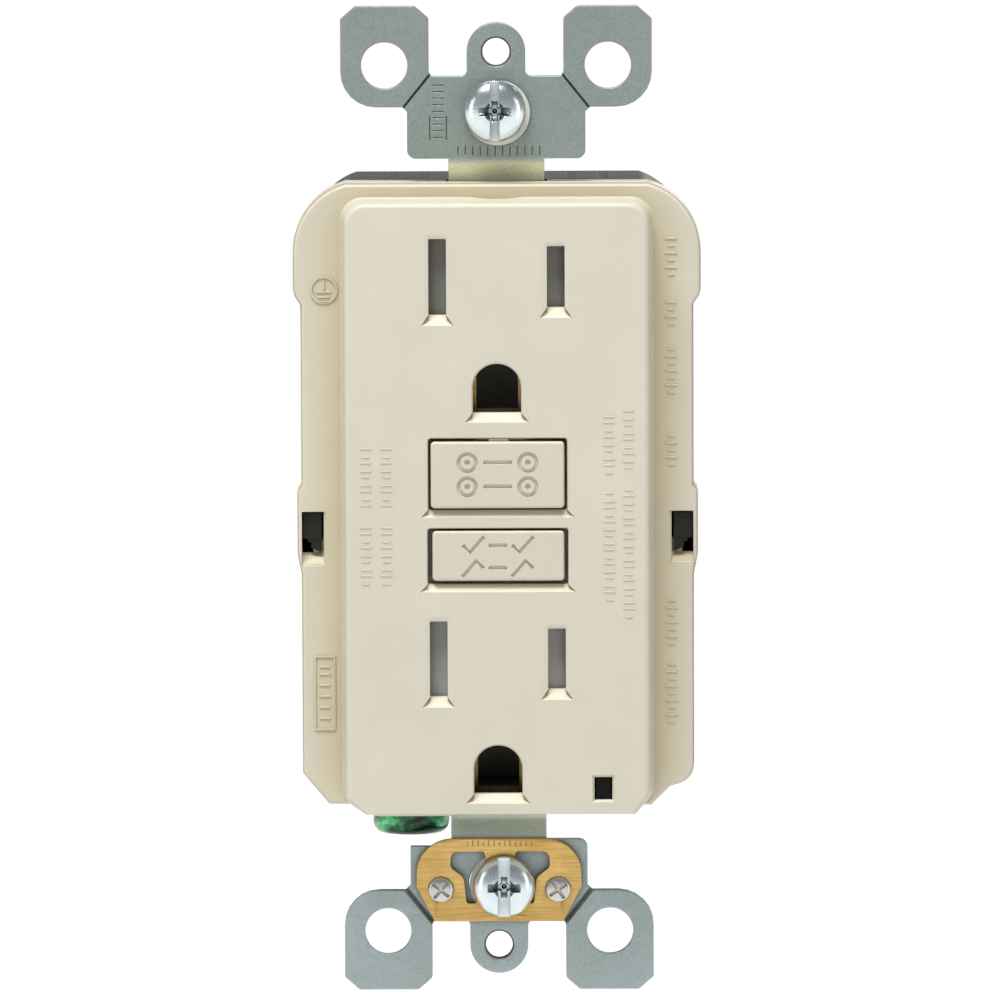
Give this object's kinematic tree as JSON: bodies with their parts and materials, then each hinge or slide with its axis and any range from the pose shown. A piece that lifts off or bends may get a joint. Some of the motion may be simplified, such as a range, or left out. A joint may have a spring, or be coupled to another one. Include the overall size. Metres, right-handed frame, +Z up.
{
  "type": "gfci outlet",
  "caption": "Light almond duplex ground-fault receptacle with test and reset buttons on a steel strap, with shutters, side terminals and a tripping mechanism.",
  "frame": {"origin": "middle of the mounting strap, in the plane of its rear face, halfway between the two wall box screws", "axes": "+X to the right seen from the room, +Y into the wall, +Z up"},
  "size_m": [0.044, 0.0333, 0.1068],
  "materials": {
    "almond_plastic": "light almond moulded thermoplastic, satin gloss",
    "black_plastic": "dark brown-black moulded plastic",
    "grey_plastic": "grey moulded shutter plastic",
    "white_plastic": "natural white nylon",
    "smoked_plastic": "dark smoked light pipe",
    "led_resin": "green tinted resin",
    "zinc_plated_steel": "zinc plated, dull grey-green passivation",
    "bright_zinc": "bright clear zinc",
    "brass": "brushed stamped brass",
    "nickel_plated": "nickel plated brass",
    "green_steel": "green chromate on steel, glossy",
    "enamelled_copper": "enamelled copper winding",
    "spring_steel": "spring steel, smooth",
    "ferrite": "dark ferrite core in epoxy",
    "circuit_laminate": "green solder resist on laminate",
    "epoxy_blue": "blue dipped epoxy",
    "fibre_washer": "pale pressed fibre"
  },
  "bodies": {
    "housing": {"face_cover": "almond_plastic", "rear_housing": "black_plastic", "mid_separator": "white_plastic", "mounting_strap": "zinc_plated_steel", "grounding_clip": "brass", "clip_rivet_left": "brass", "clip_rivet_right": "brass", "upper_ground_contact": "brass", "lower_ground_contact": "brass", "upper_ground_rivet": "brass", "lower_ground_rivet": "brass", "hot_contact_bar": "brass", "neutral_contact_bar": "brass", "upper_shutter_spring": "spring_steel", "lower_shutter_spring": "spring_steel", "upper_shutter_tray": "white_plastic", "lower_shutter_tray": "white_plastic", "reset_spring": "spring_steel", "indicator_light_pipe": "smoked_plastic", "indicator_led": "led_resin", "solenoid_bobbin": "white_plastic", "solenoid_coil": "enamelled_copper", "plunger_spring": "spring_steel", "solenoid_frame": "zinc_plated_steel", "transformer_housing": "black_plastic", "sense_transformer_core": "ferrite", "neutral_transformer_core": "ferrite", "circuit_board": "circuit_laminate", "surge_disc": "epoxy_blue", "filter_capacitor": "epoxy_blue", "line_hot_terminal_plate": "brass", "load_hot_terminal_plate": "brass", "line_neutral_terminal_plate": "nickel_plated", "load_neutral_terminal_plate": "nickel_plated"},
    "reset": {"reset_button": "almond_plastic", "reset_pin": "bright_zinc"},
    "test": {"test_button": "almond_plastic"},
    "test_arm": {"test_spring_arm": "spring_steel"},
    "upper_hot_shutter_body": {"upper_hot_shutter": "grey_plastic"},
    "upper_neutral_shutter_body": {"upper_neutral_shutter": "grey_plastic"},
    "lower_hot_shutter_body": {"lower_hot_shutter": "grey_plastic"},
    "lower_neutral_shutter_body": {"lower_neutral_shutter": "grey_plastic"},
    "carriage": {"contact_carriage": "white_plastic"},
    "hot_arm": {"hot_contact_arm": "brass"},
    "neutral_arm": {"neutral_contact_arm": "brass"},
    "latch": {"latch_plate": "spring_steel"},
    "plunger": {"solenoid_plunger": "spring_steel"},
    "line_hot_clamp": {"line_hot_clamp_plate": "zinc_plated_steel"},
    "line_hot_screw": {"line_hot_terminal_screw": "brass"},
    "line_neutral_clamp": {"line_neutral_clamp_plate": "zinc_plated_steel"},
    "line_neutral_screw": {"line_neutral_terminal_screw": "nickel_plated"},
    "load_hot_clamp": {"load_hot_clamp_plate": "zinc_plated_steel"},
    "load_hot_screw": {"load_hot_terminal_screw": "brass"},
    "load_neutral_clamp": {"load_neutral_clamp_plate": "zinc_plated_steel"},
    "load_neutral_screw": {"load_neutral_terminal_screw": "nickel_plated"},
    "top_washer": {"top_screw_retainer": "fibre_washer"},
    "top_screw": {"top_mounting_screw": "bright_zinc"},
    "bottom_washer": {"bottom_screw_retainer": "fibre_washer"},
    "bottom_screw": {"bottom_mounting_screw": "bright_zinc"},
    "ground_screw_body": {"ground_screw": "green_steel"}
  },
  "joints": [
    {"name": "reset_button_press", "type": "slide", "parent": "housing", "child": "reset", "axis": [0, 1, 0], "range_m": [-0.0012, 0.0015], "stiffness_N_per_m": 300, "deforming": ["reset_spring"]},
    {"name": "test_button_press", "type": "slide", "parent": "housing", "child": "test", "axis": [0, 1, 0], "range_m": [0, 0.0015], "stiffness_N_per_m": 200, "springref_m": -0.0004},
    {"name": "test_arm_flex", "type": "hinge", "parent": "housing", "child": "test_arm", "pos_m": [0, 0.0065, -0.0164], "axis": [-1, 0, 0], "range_deg": [0, 7]},
    {"name": "upper_hot_shutter_slide", "type": "slide", "parent": "housing", "child": "upper_hot_shutter_body", "axis": [-1, 0, 0], "range_m": [0, 0.0027], "stiffness_N_per_m": 80, "springref_m": -0.0008, "deforming": ["upper_shutter_spring"]},
    {"name": "upper_neutral_shutter_slide", "type": "slide", "parent": "housing", "child": "upper_neutral_shutter_body", "axis": [1, 0, 0], "range_m": [0, 0.0027]},
    {"name": "lower_hot_shutter_slide", "type": "slide", "parent": "housing", "child": "lower_hot_shutter_body", "axis": [-1, 0, 0], "range_m": [0, 0.0027], "stiffness_N_per_m": 80, "springref_m": -0.0008, "deforming": ["lower_shutter_spring"]},
    {"name": "lower_neutral_shutter_slide", "type": "slide", "parent": "housing", "child": "lower_neutral_shutter_body", "axis": [1, 0, 0], "range_m": [0, 0.0027]},
    {"name": "contact_carriage_slide", "type": "slide", "parent": "housing", "child": "carriage", "axis": [0, 1, 0], "range_m": [0, 0.0015]},
    {"name": "hot_contact_arm_flex", "type": "hinge", "parent": "housing", "child": "hot_arm", "pos_m": [0.0106, 0.01145, -0.0124], "axis": [-1, 0, 0], "range_deg": [0, 5.6]},
    {"name": "neutral_contact_arm_flex", "type": "hinge", "parent": "housing", "child": "neutral_arm", "pos_m": [-0.0106, 0.01145, -0.0124], "axis": [-1, 0, 0], "range_deg": [0, 5.6]},
    {"name": "latch_slide", "type": "slide", "parent": "carriage", "child": "latch", "axis": [0, 0, -1], "range_m": [0, 0.0012]},
    {"name": "solenoid_plunger_slide", "type": "slide", "parent": "housing", "child": "plunger", "axis": [0, 0, -1], "range_m": [0, 0.0012], "stiffness_N_per_m": 60, "springref_m": -0.001, "deforming": ["plunger_spring"]},
    {"name": "line_hot_clamp_slide", "type": "slide", "parent": "housing", "child": "line_hot_clamp", "axis": [1, 0, 0], "range_m": [0, 0.0016]},
    {"name": "line_hot_screw_turn", "type": "hinge", "parent": "line_hot_clamp", "child": "line_hot_screw", "pos_m": [0.017, 0.012, -0.016], "axis": [-1, 0, 0], "range_deg": [0, 730]},
    {"name": "line_neutral_clamp_slide", "type": "slide", "parent": "housing", "child": "line_neutral_clamp", "axis": [-1, 0, 0], "range_m": [0, 0.0016]},
    {"name": "line_neutral_screw_turn", "type": "hinge", "parent": "line_neutral_clamp", "child": "line_neutral_screw", "pos_m": [-0.017, 0.012, -0.016], "axis": [1, 0, 0], "range_deg": [0, 730]},
    {"name": "load_hot_clamp_slide", "type": "slide", "parent": "housing", "child": "load_hot_clamp", "axis": [1, 0, 0], "range_m": [0, 0.0016]},
    {"name": "load_hot_screw_turn", "type": "hinge", "parent": "load_hot_clamp", "child": "load_hot_screw", "pos_m": [0.017, 0.012, 0.016], "axis": [-1, 0, 0], "range_deg": [0, 730]},
    {"name": "load_neutral_clamp_slide", "type": "slide", "parent": "housing", "child": "load_neutral_clamp", "axis": [-1, 0, 0], "range_m": [0, 0.0016]},
    {"name": "load_neutral_screw_turn", "type": "hinge", "parent": "load_neutral_clamp", "child": "load_neutral_screw", "pos_m": [-0.017, 0.012, 0.016], "axis": [1, 0, 0], "range_deg": [0, 730]},
    {"name": "top_screw_slide", "type": "slide", "parent": "housing", "child": "top_washer", "axis": [0, -1, 0], "range_m": [0, 0.002]},
    {"name": "top_screw_turn", "type": "hinge", "parent": "top_washer", "child": "top_screw", "pos_m": [-0.00015, 0, 0.0421], "axis": [0, 1, 0], "continuous": true},
    {"name": "bottom_screw_slide", "type": "slide", "parent": "housing", "child": "bottom_washer", "axis": [0, -1, 0], "range_m": [0, 0.002]},
    {"name": "bottom_screw_turn", "type": "hinge", "parent": "bottom_washer", "child": "bottom_screw", "pos_m": [0.00055, 0, -0.0419], "axis": [0, 1, 0], "continuous": true},
    {"name": "ground_screw_turn", "type": "hinge", "parent": "housing", "child": "ground_screw_body", "pos_m": [-0.00955, 0.0046, -0.0355], "axis": [0, 0, 1], "continuous": true}
  ],
  "couplings": [
    {"joint": "test_arm_flex", "follows": "test_button_press", "rad_per_m": 80},
    {"joint": "upper_neutral_shutter_slide", "follows": "upper_hot_shutter_slide", "ratio": 1},
    {"joint": "lower_neutral_shutter_slide", "follows": "lower_hot_shutter_slide", "ratio": 1},
    {"joint": "hot_contact_arm_flex", "follows": "contact_carriage_slide", "rad_per_m": 62.5},
    {"joint": "neutral_contact_arm_flex", "follows": "contact_carriage_slide", "rad_per_m": 62.5},
    {"joint": "latch_slide", "follows": "solenoid_plunger_slide", "ratio": 1},
    {"joint": "line_hot_screw_turn", "follows": "line_hot_clamp_slide", "rad_per_m": 7913.3},
    {"joint": "line_neutral_screw_turn", "follows": "line_neutral_clamp_slide", "rad_per_m": 7913.3},
    {"joint": "load_hot_screw_turn", "follows": "load_hot_clamp_slide", "rad_per_m": 7913.3},
    {"joint": "load_neutral_screw_turn", "follows": "load_neutral_clamp_slide", "rad_per_m": 7913.3}
  ]
}
